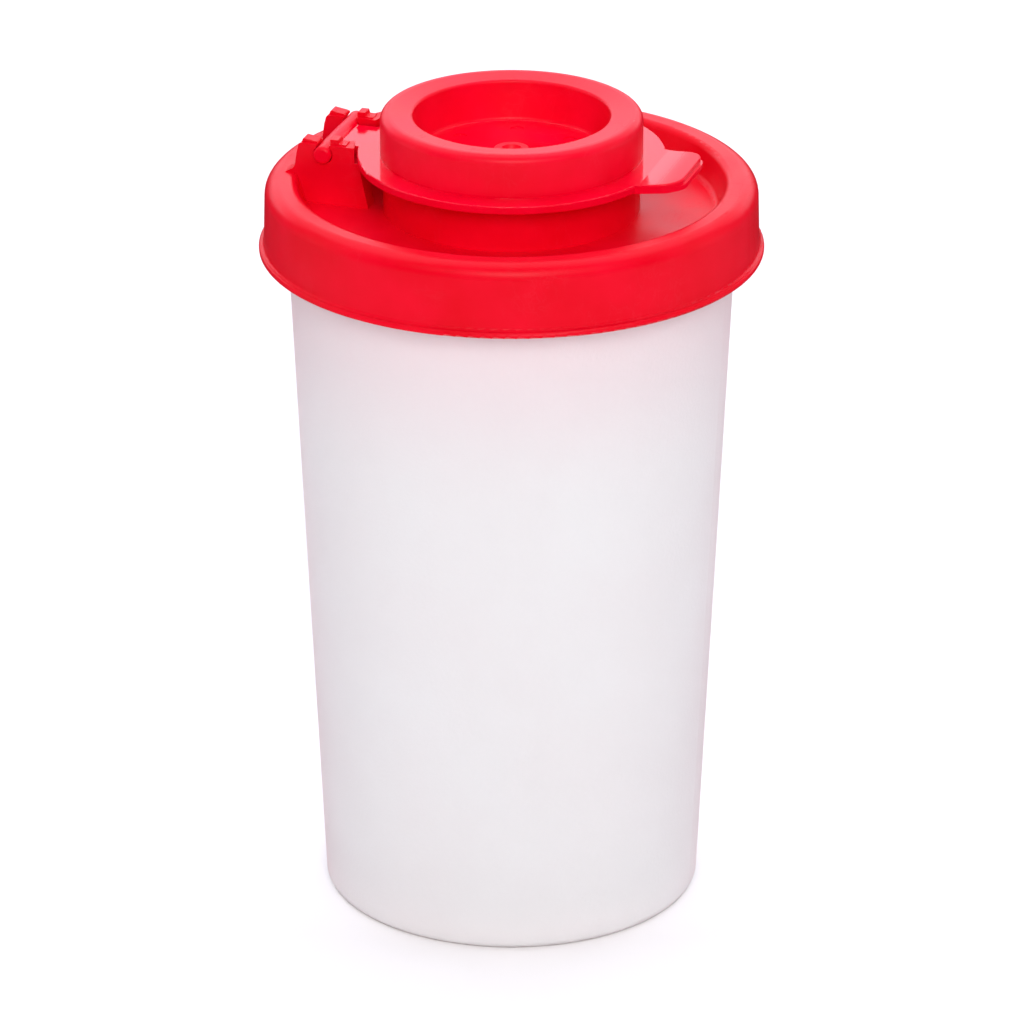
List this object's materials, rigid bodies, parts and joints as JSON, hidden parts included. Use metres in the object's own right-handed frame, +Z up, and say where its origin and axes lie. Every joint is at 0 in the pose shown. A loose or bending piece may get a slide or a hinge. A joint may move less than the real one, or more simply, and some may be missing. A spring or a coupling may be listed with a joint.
{
  "type": "flip-top spice shaker",
  "caption": "Frosted tapered tumbler with a red press-fit shaker lid and a hinged flip cap that plugs the sprinkle holes.",
  "frame": {"origin": "centre of the foot ring, on the surface that the shaker stands on", "axes": "+Z up along the tumbler's axis, +X towards the thumb tab, so the hinge is at -X and its rod lies along Y"},
  "size_m": [0.0602, 0.0602, 0.0993],
  "materials": {
    "tumbler_plastic": "translucent natural polypropylene with a fine frosted texture",
    "lid_plastic": "moulded red polyethylene, semi-gloss",
    "cap_plastic": "moulded red polypropylene, glossy plate and satin ridge"
  },
  "bodies": {
    "tumbler": {"tumbler": "tumbler_plastic"},
    "lid": {"snap_lid": "lid_plastic"},
    "cap": {"flip_cap": "cap_plastic"}
  },
  "joints": [
    {"name": "lid_lift", "type": "slide", "parent": "tumbler", "child": "lid", "axis": [0, 0, 1], "range_m": [0, 0.03]},
    {"name": "cap_hinge", "type": "hinge", "parent": "lid", "child": "cap", "pos_m": [-0.0215, 0, 0.09375], "axis": [0, -1, 0], "range_deg": [0, 155]}
  ]
}
